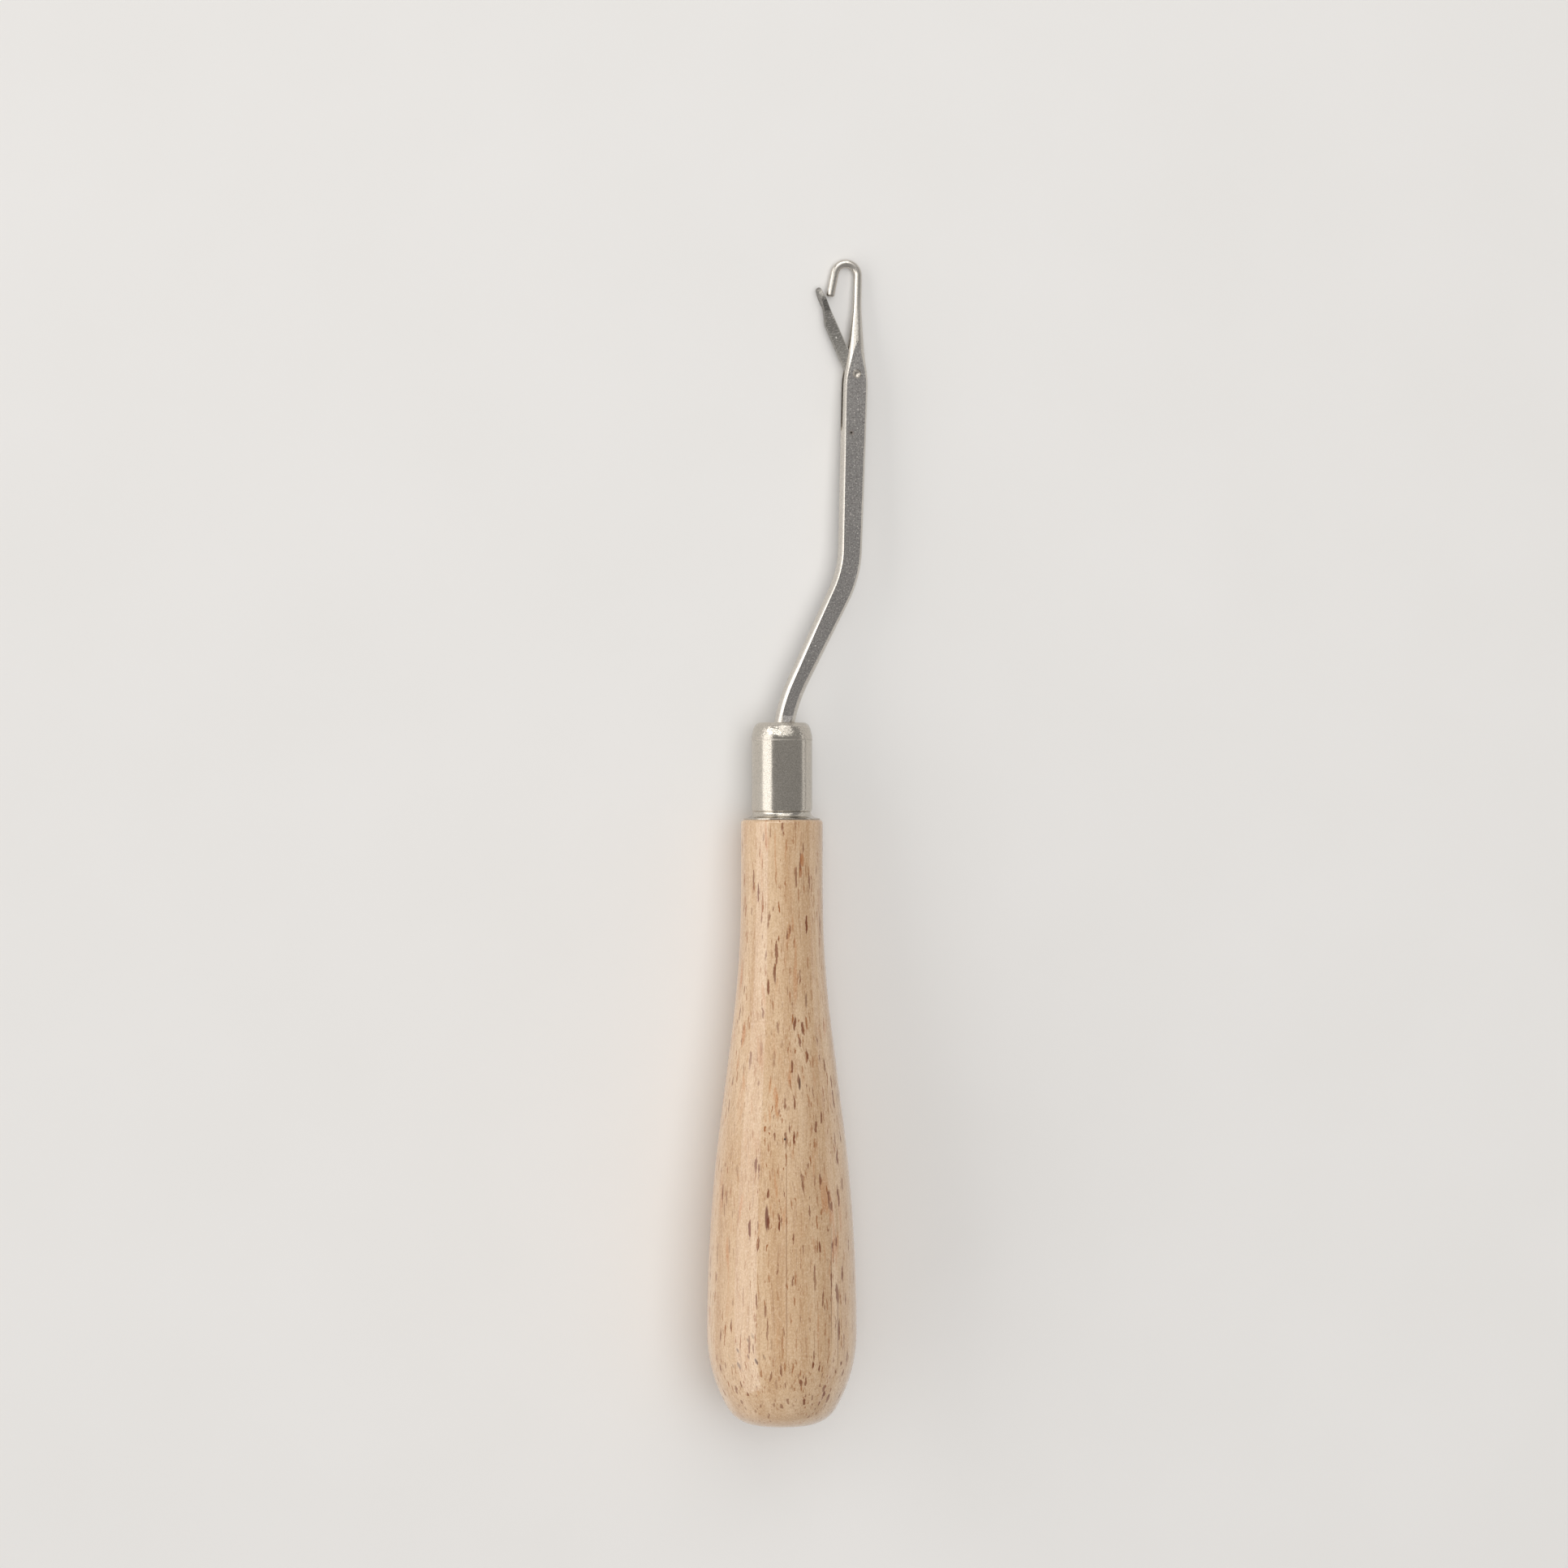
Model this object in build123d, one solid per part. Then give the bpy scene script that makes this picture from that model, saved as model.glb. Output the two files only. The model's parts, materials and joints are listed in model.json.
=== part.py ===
from build123d import *
from math import acos, asin, atan2, cos, degrees, hypot, radians, sin, tan
import os

os.makedirs("parts", exist_ok=True)

# Bent latch hook tool for rug making. Lengths are in millimetres and angles in degrees.
# The tool is drawn with its butt end at zero, its axis along +Y and its bends in the XY plane,
# and is then laid down as it rests on a table, on its bulb and the spoon of its latch.

# Turned handle, with heights counted from the butt end
handle_length = 83.1
neck_radius = 5.63
bulb_radius = 10.28
neck_ends = 63.9
bulb_starts = 27.5
bulb_widest = 12.8
neck_blend_radius = 149.0
heel_radius = 20.5
heel_corner_radius = 4.5
butt_dome_radius = 38.0
rim_round = 0.5

# Ferrule, a drawn metal cup pressed over the tenon on top of the handle
ferrule_height = 13.3
ferrule_radius = 4.17
ferrule_wall = 0.4
shoulder_width = 1.12
shoulder_drop = 2.4
shoulder_crease_angle = 10.0
skirt_round_drop = 0.7
groove_radius = 3.98
groove_height = 0.95
groove_width = 0.1
brim_radius = 5.23
brim_edge = 0.16
brim_sheet = 0.3
tenon_gap = 0.03
tenon_top_gap = 0.2

# Tang, the straight lower end of the steel, driven into the wood
tang_radius = 1.4
tang_depth = 31.0
tang_point = 1.2
tang_tip_radius = 0.7
spur_reach = 0.75
spur_length = 4.5
spur_rise = 3.0
spur_thickness = 0.9
tang_gap = 0.02

# Shank, leaning out to the side and then running up beside the tool's axis
bend_rise = 1.1
lower_bend_radius = 22.0
diagonal_lean = 26.0
diagonal_run = 21.7
upper_bend_radius = 15.0
upper_lean = 1.65
upper_run = 27.35
shank_radius_at_bend = 1.64
shank_radius_at_cheeks = 1.8

# Flats pressed on the shank's two faces
flat_half_low = 1.2
flat_half_at_pivot = 1.15
flat_half_at_apex = 1.06
flat_apex_rise = 4.2
flat_start_rise = 0.9
flat_fade_length = 3.0
flat_fade_height = 0.35

# Cheeks and hook
cheek_shoulder_drop = 0.6
cheek_cone_length = 3.5
cheek_tip_radius = 1.19
limb_taper_length = 6.0
limb_radius = 0.62
limb_length = 13.55
hook_wire_radius = 0.57
hook_bow_radius = 1.65
hook_point_lean = 11.0
hook_point_length = 3.3
hook_point_chamfer = 0.18

# Latch, a flat bar with an eye at its root and a cupped spoon at its tip
latch_length = 12.95
latch_half_thickness = 0.46
eye_radius = 1.05
bar_inner_edge = 0.49
bar_outer_edge = 1.09
bar_waist_height = 7.7
bar_waist_outer_edge = 1.04
neck_height = 10.1
neck_outer_edge = 0.32
spoon_half_width = 0.95
spoon_flare_height = 9.3
spoon_widest_height = 11.35
spoon_inner_edge = 0.38
spoon_outer_edge = 0.26
spoon_tip_radius = 0.28
cup_radius = 0.74
cup_depth = 0.26

# Rivet through both cheeks and the latch's eye
rivet_radius = 0.6
rivet_gap = 0.04
rivet_hole_gap = 0.01
rivet_head_sink = 0.02
rivet_edge_round = 0.09
rivet_dish_radius = 0.43
rivet_dish_depth = 0.14
rivet_dimple_radius = 0.12
rivet_dimple_depth = 0.06
rivet_seat_chamfer = 0.07

# How the latch swings in its slot
latch_closed_lean = 24.5
latch_open_clear_lean = 20.0
slot_side_gap = 0.07
slot_edge_gap = 0.14

# Every cut runs this far past the surface that it leaves
overrun = 2.0


def heading(lean):
    """Unit direction in the bend plane, leaning from +Y towards +X."""
    return Vector(sin(radians(lean)), cos(radians(lean)), 0)


def rightward(lean):
    """Unit direction in the bend plane, square to the heading and to its right."""
    return Vector(cos(radians(lean)), -sin(radians(lean)), 0)


# Slope of the handle's taper, and the long curve that carries it into the bulb
handle_taper = atan2(bulb_radius - neck_radius, neck_ends - bulb_starts)
bulb_blend_radius = (bulb_starts - bulb_widest) / tan(handle_taper / 2)

# Places along the shank's centre line
ferrule_top = handle_length + ferrule_height
turn_high = diagonal_lean - upper_lean
corner_low = Vector(0, ferrule_top + bend_rise, 0)
corner_high = corner_low + heading(diagonal_lean) * diagonal_run
reach_low = lower_bend_radius * tan(radians(diagonal_lean) / 2)
reach_high = upper_bend_radius * tan(radians(turn_high) / 2)
bend_start = corner_low - heading(0) * reach_low
diagonal_start = corner_low + heading(diagonal_lean) * reach_low
diagonal_end = corner_high - heading(diagonal_lean) * reach_high
upper_start = corner_high + heading(upper_lean) * reach_high
pivot = corner_high + heading(upper_lean) * upper_run
cheek_shoulder = pivot - heading(upper_lean) * cheek_shoulder_drop
cheek_tip = cheek_shoulder + heading(upper_lean) * cheek_cone_length
limb_start = cheek_tip + heading(upper_lean) * limb_taper_length
limb_end = pivot + heading(upper_lean) * limb_length
bow_centre = limb_end - rightward(upper_lean) * hook_bow_radius
bow_turn = 180 - hook_point_lean + upper_lean
point_lean = upper_lean - bow_turn
point_start = bow_centre + rightward(point_lean) * hook_bow_radius
tang_end = Vector(0, ferrule_top - tang_depth, 0)
tenon_radius = ferrule_radius - ferrule_wall - tenon_gap
tenon_top = ferrule_top - ferrule_wall - tenon_top_gap
slot_half_width = latch_half_thickness + slot_side_gap
latch_swing = 180 - upper_lean - latch_open_clear_lean - latch_closed_lean


def turned(outline):
    """Solid of revolution about the tool's axis, from its half outline."""
    return revolve(make_face(outline), Axis.Y)


def handle_outline():
    """Half outline of the turned handle, from the tenon's top round to the butt end."""
    slant = degrees(handle_taper)
    neck_reach = neck_blend_radius * tan(handle_taper / 2)
    bulb_reach = bulb_starts - bulb_widest
    taper_start = Vector(neck_radius, neck_ends) + Vector(0, -neck_reach).rotate(Axis.Z, slant)
    taper_end = Vector(bulb_radius, bulb_starts) + Vector(0, bulb_reach).rotate(Axis.Z, slant)
    neck_blend_centre = Vector(neck_radius + neck_blend_radius, neck_ends + neck_reach)
    bulb_blend_centre = Vector(bulb_radius - bulb_blend_radius, bulb_widest)
    heel_centre = Vector(bulb_radius - heel_radius, bulb_widest)
    dome_centre = Vector(0, butt_dome_radius)
    side_heel = heel_radius - heel_corner_radius
    side_dome = butt_dome_radius - heel_corner_radius
    line = dome_centre - heel_centre
    spread = acos((side_heel**2 + line.length**2 - side_dome**2) / (2 * side_heel * line.length))
    heel_turn = degrees(spread - atan2(line.Y, line.X))
    corner_centre = heel_centre + Vector(side_heel, 0).rotate(Axis.Z, -heel_turn)
    dome_turn = degrees(asin(corner_centre.X / side_dome))
    corner_turn = 90 - heel_turn - dome_turn
    return (
        Polyline(
            (0, 0),
            (0, tenon_top),
            (tenon_radius - ferrule_wall, tenon_top),
            (tenon_radius, ferrule_top - shoulder_drop),
            (tenon_radius, handle_length),
            (neck_radius - rim_round, handle_length),
        )
        + CenterArc((neck_radius - rim_round, handle_length - rim_round), rim_round, 90, -90)
        + Line((neck_radius, handle_length - rim_round), (neck_radius, neck_ends + neck_reach))
        + CenterArc(neck_blend_centre, neck_blend_radius, 180, slant)
        + Line(taper_start, taper_end)
        + CenterArc(bulb_blend_centre, bulb_blend_radius, slant, -slant)
        + CenterArc(heel_centre, heel_radius, 0, -heel_turn)
        + CenterArc(corner_centre, heel_corner_radius, -heel_turn, -corner_turn)
        + CenterArc(dome_centre, butt_dome_radius, dome_turn - 90, -dome_turn)
    )


def ferrule_outline():
    """Half outline of the ferrule's sheet, drawn to the axis over its closed top."""
    base = handle_length
    crease = radians(shoulder_crease_angle)
    ellipse_centre = (ferrule_radius - shoulder_width * cos(crease), ferrule_top - shoulder_drop)
    crease_height = ellipse_centre[1] + shoulder_drop * sin(crease)
    skirt_start = base + groove_height + groove_width
    skirt_end = skirt_start + skirt_round_drop
    inner_radius = ferrule_radius - ferrule_wall
    lip_inner_radius = brim_radius - brim_sheet
    return (
        Polyline(
            (0, ferrule_top - ferrule_wall),
            (inner_radius - ferrule_wall, ferrule_top - ferrule_wall),
            (inner_radius, ferrule_top - shoulder_drop),
            (inner_radius, base + groove_height - brim_sheet),
            (lip_inner_radius, base),
            (brim_radius, base),
            (brim_radius, base + brim_edge),
        )
        + RadiusArc(
            (brim_radius, base + brim_edge),
            (groove_radius, base + groove_height),
            -(brim_radius - groove_radius) * 2,
        )
        + Line((groove_radius, base + groove_height), (groove_radius, skirt_start))
        + EllipticalCenterArc(
            (groove_radius, skirt_end),
            ferrule_radius - groove_radius,
            skirt_round_drop,
            start_angle=-90,
            arc_size=90,
        )
        + Line((ferrule_radius, skirt_end), (ferrule_radius, crease_height))
        + EllipticalCenterArc(
            ellipse_centre,
            shoulder_width,
            shoulder_drop,
            start_angle=shoulder_crease_angle,
            arc_size=90 - shoulder_crease_angle,
        )
        + Polyline(
            (ellipse_centre[0], ferrule_top),
            (0, ferrule_top),
            (0, ferrule_top - ferrule_wall),
        )
    )


def rod(start, end, start_radius, end_radius):
    """Round rod that tapers evenly from one centre to the other."""
    run = end - start
    blank = Cone(start_radius, end_radius, run.length, align=(Align.CENTER, Align.CENTER, Align.MIN))
    return Plane(origin=start, z_dir=run) * blank


def bend(start, lean, turn, centre, radius):
    """Round rod bent in the XY plane about a centre, clockwise for a positive turn."""
    section = Plane(origin=start, z_dir=heading(lean)) * Circle(radius)
    return revolve(section, Axis(centre, (0, 0, -1 if turn > 0 else 1)), abs(turn))


def tang(gap):
    """Tang with its spurs and the lower bend, grown all round by a gap."""
    radius = tang_radius + gap
    tip = tang_end - heading(0) * gap
    point_top = tang_end + heading(0) * tang_point
    spur_bottom = tang_end.Y + spur_rise - gap
    spur_top = spur_bottom + spur_length + 2 * gap
    spur_radius = tang_radius + spur_reach + gap
    spurs = make_face(
        Polyline(
            (0, spur_bottom),
            (spur_radius, spur_top),
            (-spur_radius, spur_top),
            close=True,
        )
    )
    centre = bend_start + rightward(0) * lower_bend_radius
    return (
        rod(tip, point_top, tang_tip_radius + gap, radius)
        + Plane(origin=point_top, z_dir=heading(0))
        * Cylinder(radius, bend_start.Y - point_top.Y, align=(Align.CENTER, Align.CENTER, Align.MIN))
        + extrude(spurs, spur_thickness / 2 + gap, both=True)
        + bend(bend_start, 0, diagonal_lean, centre, radius)
    )


def flats():
    """Slab whose two faces press the shank flat, opening out round the tang."""
    fade_top = ferrule_top + flat_start_rise
    fade_bottom = fade_top - flat_fade_length
    wide = shank_radius_at_cheeks + overrun
    side = [
        (tang_end.Y - overrun, wide),
        (fade_bottom, wide),
        (fade_bottom, tang_radius + flat_fade_height),
        (fade_top, flat_half_low),
        (pivot.Y, flat_half_at_pivot),
        (pivot.Y + flat_apex_rise, flat_half_at_apex),
        (limb_end.Y + hook_bow_radius + overrun, flat_half_at_apex),
    ]
    outline = side + [(height, -half) for height, half in reversed(side)]
    reach = corner_high.X + pivot.X
    return extrude(Plane.YZ * make_face(Polyline(*outline, close=True)), reach, both=True)


def latch_frame(lean):
    """Frame at the pivot, with +Y along the latch when it leans that far to the left."""
    return Plane(origin=pivot, x_dir=rightward(-lean), z_dir=(0, 0, 1))


def slot():
    """Slot between the cheeks, open to the left, with room for the latch closed, open and between."""
    closed = latch_frame(latch_closed_lean)
    opened = latch_frame(latch_closed_lean + latch_swing)
    inner = bar_inner_edge + slot_edge_gap
    outer = bar_outer_edge + slot_edge_gap
    waist = bar_waist_outer_edge + slot_edge_gap
    neck = neck_outer_edge + slot_edge_gap
    corners = [
        closed.from_local_coords((inner, 0)),
        closed.from_local_coords((inner, latch_length)),
        opened.from_local_coords((-neck, latch_length)),
        opened.from_local_coords((-neck, neck_height)),
        opened.from_local_coords((-waist, bar_waist_height)),
        opened.from_local_coords((-outer, 0)),
    ]
    wedge = make_face(Polyline(*corners, close=True))
    eye = Pos(pivot) * Circle(eye_radius + slot_edge_gap)
    return extrude(wedge, slot_half_width, both=True) + extrude(eye, slot_half_width, both=True)


def rivet_hole():
    """Hole through both cheeks, eased at its two mouths for the rivet's heads."""
    radius = rivet_radius + rivet_hole_gap
    mouth = radius + rivet_seat_chamfer
    outline = Polyline(
        (0, 0),
        (radius, 0),
        (radius, flat_half_at_pivot - rivet_seat_chamfer),
        (mouth + overrun, flat_half_at_pivot + overrun),
        (0, flat_half_at_pivot + overrun),
        close=True,
    )
    half = revolve(Plane.XZ * make_face(outline), Axis.Z)
    return Pos(pivot) * (half + mirror(half, Plane.XY))


def make_handle():
    """Wooden handle with its tenon, bored for the tang."""
    return turned(handle_outline()) - tang(tang_gap)


def make_ferrule():
    """Ferrule with a hole in its top for the shank."""
    return turned(ferrule_outline()) - tang(tang_gap)


def make_hook_shank():
    """One steel piece: tang, bent and flattened shank, slotted cheeks and hook."""
    upper_centre = diagonal_end + rightward(diagonal_lean) * -upper_bend_radius
    steel = (
        tang(0)
        + rod(diagonal_start, diagonal_end, tang_radius, shank_radius_at_bend)
        + bend(diagonal_end, diagonal_lean, -turn_high, upper_centre, shank_radius_at_bend)
        + rod(upper_start, cheek_shoulder, shank_radius_at_bend, shank_radius_at_cheeks)
        + rod(cheek_shoulder, cheek_tip, shank_radius_at_cheeks, cheek_tip_radius)
        + rod(cheek_tip, limb_start, cheek_tip_radius, limb_radius)
        + rod(limb_start, limb_end, limb_radius, hook_wire_radius)
        + bend(limb_end, upper_lean, -bow_turn, bow_centre, hook_wire_radius)
    )
    point = Cylinder(hook_wire_radius, hook_point_length, align=(Align.CENTER, Align.CENTER, Align.MIN))
    point = chamfer(point.edges().sort_by(Axis.Z)[-1], hook_point_chamfer)
    steel += Plane(origin=point_start, z_dir=heading(point_lean)) * point
    return (steel & flats()) - slot() - rivet_hole()


def latch_side():
    """Side outline of the latch in its own frame, +Y towards its tip and +X towards the hook."""
    tip_height = latch_length - spoon_tip_radius
    inner_tip = spoon_inner_edge - spoon_tip_radius
    outer_tip = inner_tip - spoon_tip_radius
    return make_face(
        Polyline(
            (-bar_outer_edge, 0),
            (-bar_outer_edge, eye_radius),
            (-bar_waist_outer_edge, bar_waist_height),
            (-neck_outer_edge, neck_height),
            (-spoon_outer_edge, spoon_widest_height),
            (outer_tip, tip_height),
        )
        + CenterArc((inner_tip, tip_height), spoon_tip_radius, 180, -180)
        + Polyline((spoon_inner_edge, tip_height), (bar_inner_edge, bar_waist_height), (bar_inner_edge, 0))
        + Line((bar_inner_edge, 0), (-bar_outer_edge, 0))
    )


def latch_plan():
    """Half plan of the latch, a thin bar that opens into a leaf-shaped spoon."""
    foot = -eye_radius - overrun
    tip_length = latch_length - spoon_widest_height
    return make_face(
        Polyline((0, foot), (latch_half_thickness, foot), (latch_half_thickness, spoon_flare_height))
        + Spline(
            (latch_half_thickness, spoon_flare_height),
            (spoon_half_width, spoon_widest_height),
            tangents=[(0, 1), (0, 1)],
        )
        + EllipticalCenterArc(
            (0, spoon_widest_height), spoon_half_width, tip_length, start_angle=0, arc_size=90
        )
        + Line((0, latch_length), (0, foot))
    )


def dish(height, radius, depth):
    """Ball that leaves a dish of that radius and depth in a face at that height."""
    ball_radius = (radius**2 + depth**2) / (2 * depth)
    return Pos(0, 0, height - depth + ball_radius) * Sphere(ball_radius)


def make_latch():
    """Latch with its eye bored to run on the rivet and its spoon cupped towards the hook's point."""
    side = extrude(latch_side() + Circle(eye_radius), spoon_half_width, both=True)
    half_plan = Rot(0, -90, 0) * extrude(latch_plan(), bar_outer_edge + overrun, both=True)
    cup = Pos(0, spoon_widest_height, 0) * Rot(0, 90, 0) * dish(spoon_inner_edge, cup_radius, cup_depth)
    flat = side & (half_plan + mirror(half_plan, Plane.XY))
    flat -= cup
    flat -= Cylinder(rivet_radius + rivet_gap, 2 * (spoon_half_width + overrun))
    return latch_frame(latch_closed_lean) * flat


def make_latch_rivet():
    """Rivet with eased ends, each dished inside its rim, with a dimple in the middle."""
    half_length = flat_half_at_pivot - rivet_head_sink
    pin = Cylinder(rivet_radius, 2 * half_length)
    pin = fillet(pin.edges().filter_by(GeomType.CIRCLE), rivet_edge_round)
    hollow = dish(half_length, rivet_dish_radius, rivet_dish_depth)
    hollow += dish(half_length - rivet_dish_depth, rivet_dimple_radius, rivet_dimple_depth)
    return Pos(pivot) * (pin - hollow - mirror(hollow, Plane.XY))


def tilt_onto(height, depth, radius):
    """Nose-down tilt at which a ball of the tool meets a table that carries the handle's bulb."""
    run = height - bulb_widest
    rise = bulb_blend_radius - bulb_radius + depth
    return degrees(asin((bulb_blend_radius - radius) / hypot(run, rise)) - atan2(rise, run))


def rest_tilt():
    """Nose-down tilt of the tool at rest, set by whatever meets the table first."""
    spoon = latch_frame(latch_closed_lean).from_local_coords((spoon_inner_edge, spoon_widest_height))
    return min(
        tilt_onto(handle_length - rim_round, neck_radius - rim_round, rim_round),
        tilt_onto(cheek_shoulder.Y, flat_half_at_pivot, 0),
        tilt_onto(limb_start.Y, 0, limb_radius),
        tilt_onto(bow_centre.Y + hook_bow_radius, 0, hook_wire_radius),
        tilt_onto(spoon.Y, spoon_half_width, 0),
    )


def resting_place(shapes):
    """Move that lays the drawn tool on a table, with the origin under the middle of its box."""
    laid = Rot(-rest_tilt(), 0, 0)
    box = Compound(children=[laid * shape for shape in shapes]).bounding_box()
    return Pos(-box.center().X, -box.center().Y, -box.min.Z) * laid


drawn = {
    "handle": make_handle(),
    "ferrule": make_ferrule(),
    "hook_shank": make_hook_shank(),
    "latch": make_latch(),
    "latch_rivet": make_latch_rivet(),
}
place = resting_place(drawn.values())
pieces = {name: place * shape for name, shape in drawn.items()}

for name, piece in pieces.items():
    export_step(piece, f"parts/{name}.step")

hinge = place * Pos(pivot)
print("Latch pivot at", hinge.position, "about", Plane(hinge).z_dir, "opening by", latch_swing)
print("Handle axis at the neck", place * Pos(0, neck_ends, 0))
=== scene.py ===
import json
from math import atan2, ceil, cos, pi, radians, sin, sqrt, tan

import bmesh
import bpy
from mathutils import Matrix, Vector, noise


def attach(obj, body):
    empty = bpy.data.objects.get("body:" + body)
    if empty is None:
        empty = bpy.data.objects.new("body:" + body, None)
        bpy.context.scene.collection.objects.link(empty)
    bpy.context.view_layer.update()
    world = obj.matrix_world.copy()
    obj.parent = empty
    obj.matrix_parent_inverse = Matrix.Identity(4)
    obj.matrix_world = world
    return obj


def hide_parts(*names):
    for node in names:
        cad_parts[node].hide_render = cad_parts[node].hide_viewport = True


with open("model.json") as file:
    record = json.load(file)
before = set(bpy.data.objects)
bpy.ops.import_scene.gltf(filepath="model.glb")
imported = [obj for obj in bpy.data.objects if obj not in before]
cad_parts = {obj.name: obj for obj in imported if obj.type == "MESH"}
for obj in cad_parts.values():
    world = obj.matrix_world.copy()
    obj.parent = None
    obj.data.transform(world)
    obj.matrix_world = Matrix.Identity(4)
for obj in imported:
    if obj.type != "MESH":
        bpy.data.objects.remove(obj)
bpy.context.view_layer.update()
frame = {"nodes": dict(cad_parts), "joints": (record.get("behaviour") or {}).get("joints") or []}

# The tool is worked on in millimetres in its own frame: butt end at zero, handle's axis along +Y
# and the shank's bends in the XY plane.
millimetre = 0.001

# Ferrule, in millimetres
handle_length = 83.1
ferrule_height = 13.3
ferrule_top = handle_length + ferrule_height
ferrule_radius = 4.17
ferrule_wall = 0.4
shoulder_width = 1.12
shoulder_drop = 2.4
shoulder_crease_angle = 10.0
skirt_round_drop = 0.7
groove_radius = 3.98
groove_height = 0.95
groove_width = 0.1
brim_radius = 5.23
brim_edge = 0.16
brim_sheet = 0.3
shank_hole_radius = 1.43
shank_hole_shift = 0.36
ferrule_edge_ease = 0.06
ferrule_ease_angle = 28
ferrule_steps = 128
shoulder_steps = 18
skirt_steps = 8
flare_steps = 10
wall_stops = (0.0, 3.0, 6.0)
hole_edge_share = 1.01

# Faint dents of the ferrule's shoulder, in millimetres or shares of its sizes
shoulder_dent = 0.045
dented_share = 0.82
dented_inner_share = 1.6
dent_fade = 0.5
dent_fineness = 0.75
dent_shift = Vector((3.1, 0.4, 7.7))
dent_middle = 0.35

# Tang, the steel's straight lower end, in millimetres
tang_radius = 1.4
tang_depth = 31.0
tang_point = 1.2
tang_tip_radius = 0.7
spur_reach = 0.75
spur_length = 4.5
spur_rise = 3.0
spur_thickness = 0.9

# Bent shank, its pressed flats and its cheeks
bend_rise = 1.1
lower_bend_radius = 22.0
diagonal_lean = radians(26.0)
diagonal_run = 21.7
upper_bend_radius = 15.0
upper_lean = radians(1.65)
upper_run = 27.35
shank_radius_at_bend = 1.64
shank_radius_at_cheeks = 1.8
flat_half_low = 1.2
flat_half_at_pivot = 1.15
flat_half_at_apex = 1.06
flat_apex_rise = 4.2
flat_start_rise = 0.9
flat_fade_length = 3.0
flat_fade_height = 0.35
cheek_shoulder_drop = 0.6
cheek_cone_length = 3.5
cheek_tip_radius = 1.19
shank_edge_ease = 0.14

# Hook
limb_taper_length = 6.0
limb_radius = 0.62
limb_length = 13.55
hook_wire_radius = 0.57
hook_bow_radius = 1.65
hook_point_lean = radians(11.0)
hook_point_length = 3.3
hook_point_chamfer = 0.18

# Slot between the cheeks, which the latch swings in
slot_half_width = 0.53
slot_edge_gap = 0.14
latch_length = 12.95
bar_inner_edge = 0.49
bar_outer_edge = 1.09
bar_waist_height = 7.7
bar_waist_outer_edge = 1.04
neck_height = 10.1
neck_outer_edge = 0.32
eye_radius = 1.05
latch_closed_lean = radians(24.5)
latch_open_clear_lean = radians(20.0)

# Rivet, dished inside a rounded rim, with a dimple in the middle
rivet_radius = 0.6
rivet_hole_gap = 0.01
rivet_head_sink = 0.02
rivet_dish_radius = 0.43
rivet_dish_depth = 0.14
rivet_rim_rise = 0.09
rivet_dimple_radius = 0.12
rivet_dimple_depth = 0.06
rivet_steps = 64
rivet_dimple_steps = 6
rivet_bowl_steps = 6
rivet_rim_steps = 12

# Meshes of the steel pieces
weld_distance = 0.001
level_angle = radians(0.3)
sharp_angle = radians(40)
ease_segments = 2
shank_ease_angle = 6
shank_ease_segments = 4
latch_edge_ease = 0.035
latch_ease_angle = 25
pin_hole_steps = 48
softening_rounds = 2
overrun = 2.0
rod_sides = 80
rod_step = 0.9
bend_step = radians(4.0)

# What counts as a pressed flat: how its faces may lie, and how far outside the slot
flat_sideways_limit = 0.02
flat_upright_limit = 0.97
flat_clear_of_slot = 0.2

# Patterns of the wood, across and along the grain in millimetres
drift_size = (5.0, 16.0)
drift_pull = (1.8, 0.0, 1.8)
band_size = (2.6, 70.0)
line_size = (0.55, 45.0)
thread_size = (0.2, 26.0)
fibre_size = (0.16, 1.6)
patch_size = (6.0, 22.0)
streak_size = (0.8, 7.0)
grit_size = (0.2, 0.3)
tear_size = (0.5, 1.3)
tear_pull = (0.45, 1.6, 0.45)
hair_size = (0.4, 3.8)
dash_size = (0.72, 5.8)
vessel_size = (0.36, 15.0)
smallest_pore_share = 0.35
crowd_size = (3.5, 12.0)
crowd_strength = 0.9
varnish_wave_size = (1.6, 3.2)

# Tones of the wood, as they show on a screen from 0 to 255
wood_tan = (202, 163, 120)
wood_pale = (226, 195, 158)
wood_line = (180, 136, 96)
wood_thread = (158, 112, 76)
fibre_pale = (232, 206, 178)
fibre_dark = (160, 120, 88)
wood_streak = (192, 122, 62)
grit_pale = (246, 222, 194)
grit_dark = (164, 126, 92)
hair_brown = (156, 94, 42)
vessel_brown = (162, 106, 56)
dash_brown = (122, 62, 22)

# Marks of the wood on its shown side, placed across and up the handle: half sizes, tone and strength
wood_marks = [
    ((2.75, 77.6), (0.3, 1.1), (176, 104, 42), 0.7),
    ((2.55, 75.9), (0.26, 0.8), (166, 96, 40), 0.6),
    ((2.42, 47.3), (0.16, 1.0), (92, 58, 36), 0.9),
    ((-2.04, 29.3), (0.28, 2.0), (112, 56, 34), 0.9),
    ((0.41, 39.9), (0.17, 0.17), (44, 30, 22), 1.0),
    ((0.63, 25.0), (0.09, 19.0), (140, 96, 64), 0.6),
    ((6.7, 20.0), (0.09, 9.0), (136, 90, 60), 0.6),
    ((7.6, 15.0), (0.1, 7.0), (132, 88, 60), 0.6),
    ((-0.9, 62.0), (0.12, 1.6), (128, 84, 52), 0.7),
    ((3.3, 58.5), (0.14, 1.2), (118, 74, 44), 0.7),
]

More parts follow.
